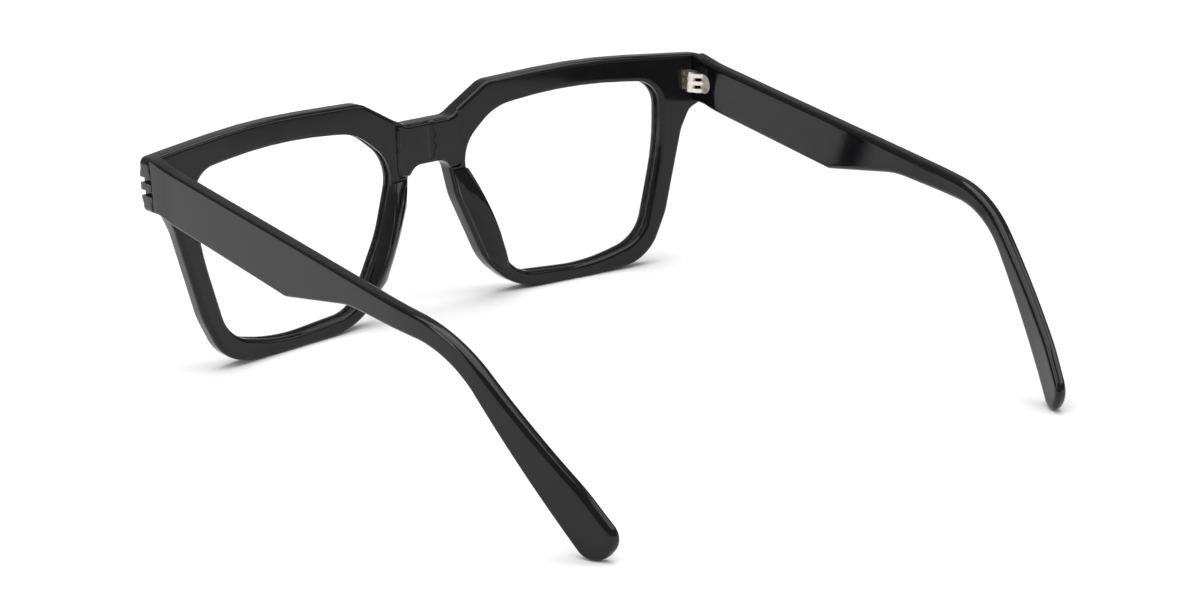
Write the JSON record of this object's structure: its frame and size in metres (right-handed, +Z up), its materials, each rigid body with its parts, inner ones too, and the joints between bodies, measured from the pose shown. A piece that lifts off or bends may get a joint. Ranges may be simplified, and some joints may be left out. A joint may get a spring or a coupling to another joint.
{
  "type": "eyeglasses frame",
  "caption": "Square full-rim acetate eyeglasses frame with bonded nose pads, clear demo lenses, grooved end pieces and temples that fold on barrel hinges.",
  "frame": {"origin": "centre of the overall box in X and Y, on the surface that the open frame stands on", "axes": "+X towards the wearer's left, the front faces -Y and the temples run towards +Y, +Z up"},
  "size_m": [0.141, 0.1375, 0.049],
  "materials": {
    "acetate": "polished black cellulose acetate",
    "nose_pad": "polished black cellulose acetate, bonded on",
    "lens": "clear demo lens",
    "hinge_metal": "nickel silver, lightly brushed",
    "screw_metal": "turned nickel-plated steel",
    "core_metal": "nickel silver core wire"
  },
  "bodies": {
    "front_frame": {"front": "acetate", "nose_pad_left": "nose_pad", "nose_pad_right": "nose_pad", "lens_left": "lens", "lens_right": "lens", "hinge_front_left": "hinge_metal", "hinge_front_right": "hinge_metal"},
    "left_temple": {"temple_left": "acetate", "temple_core_left": "core_metal", "hinge_temple_left": "hinge_metal", "hinge_screw_left": "screw_metal"},
    "right_temple": {"temple_right": "acetate", "temple_core_right": "core_metal", "hinge_temple_right": "hinge_metal", "hinge_screw_right": "screw_metal"}
  },
  "joints": [
    {"name": "left_temple_fold", "type": "hinge", "parent": "front_frame", "child": "left_temple", "pos_m": [0.06601, -0.0556, 0.0417], "axis": [0, 0.1184, 0.993], "range_deg": [0, 83]},
    {"name": "right_temple_fold", "type": "hinge", "parent": "front_frame", "child": "right_temple", "pos_m": [-0.06601, -0.0556, 0.0417], "axis": [0, -0.1184, -0.993], "range_deg": [0, 65]}
  ]
}
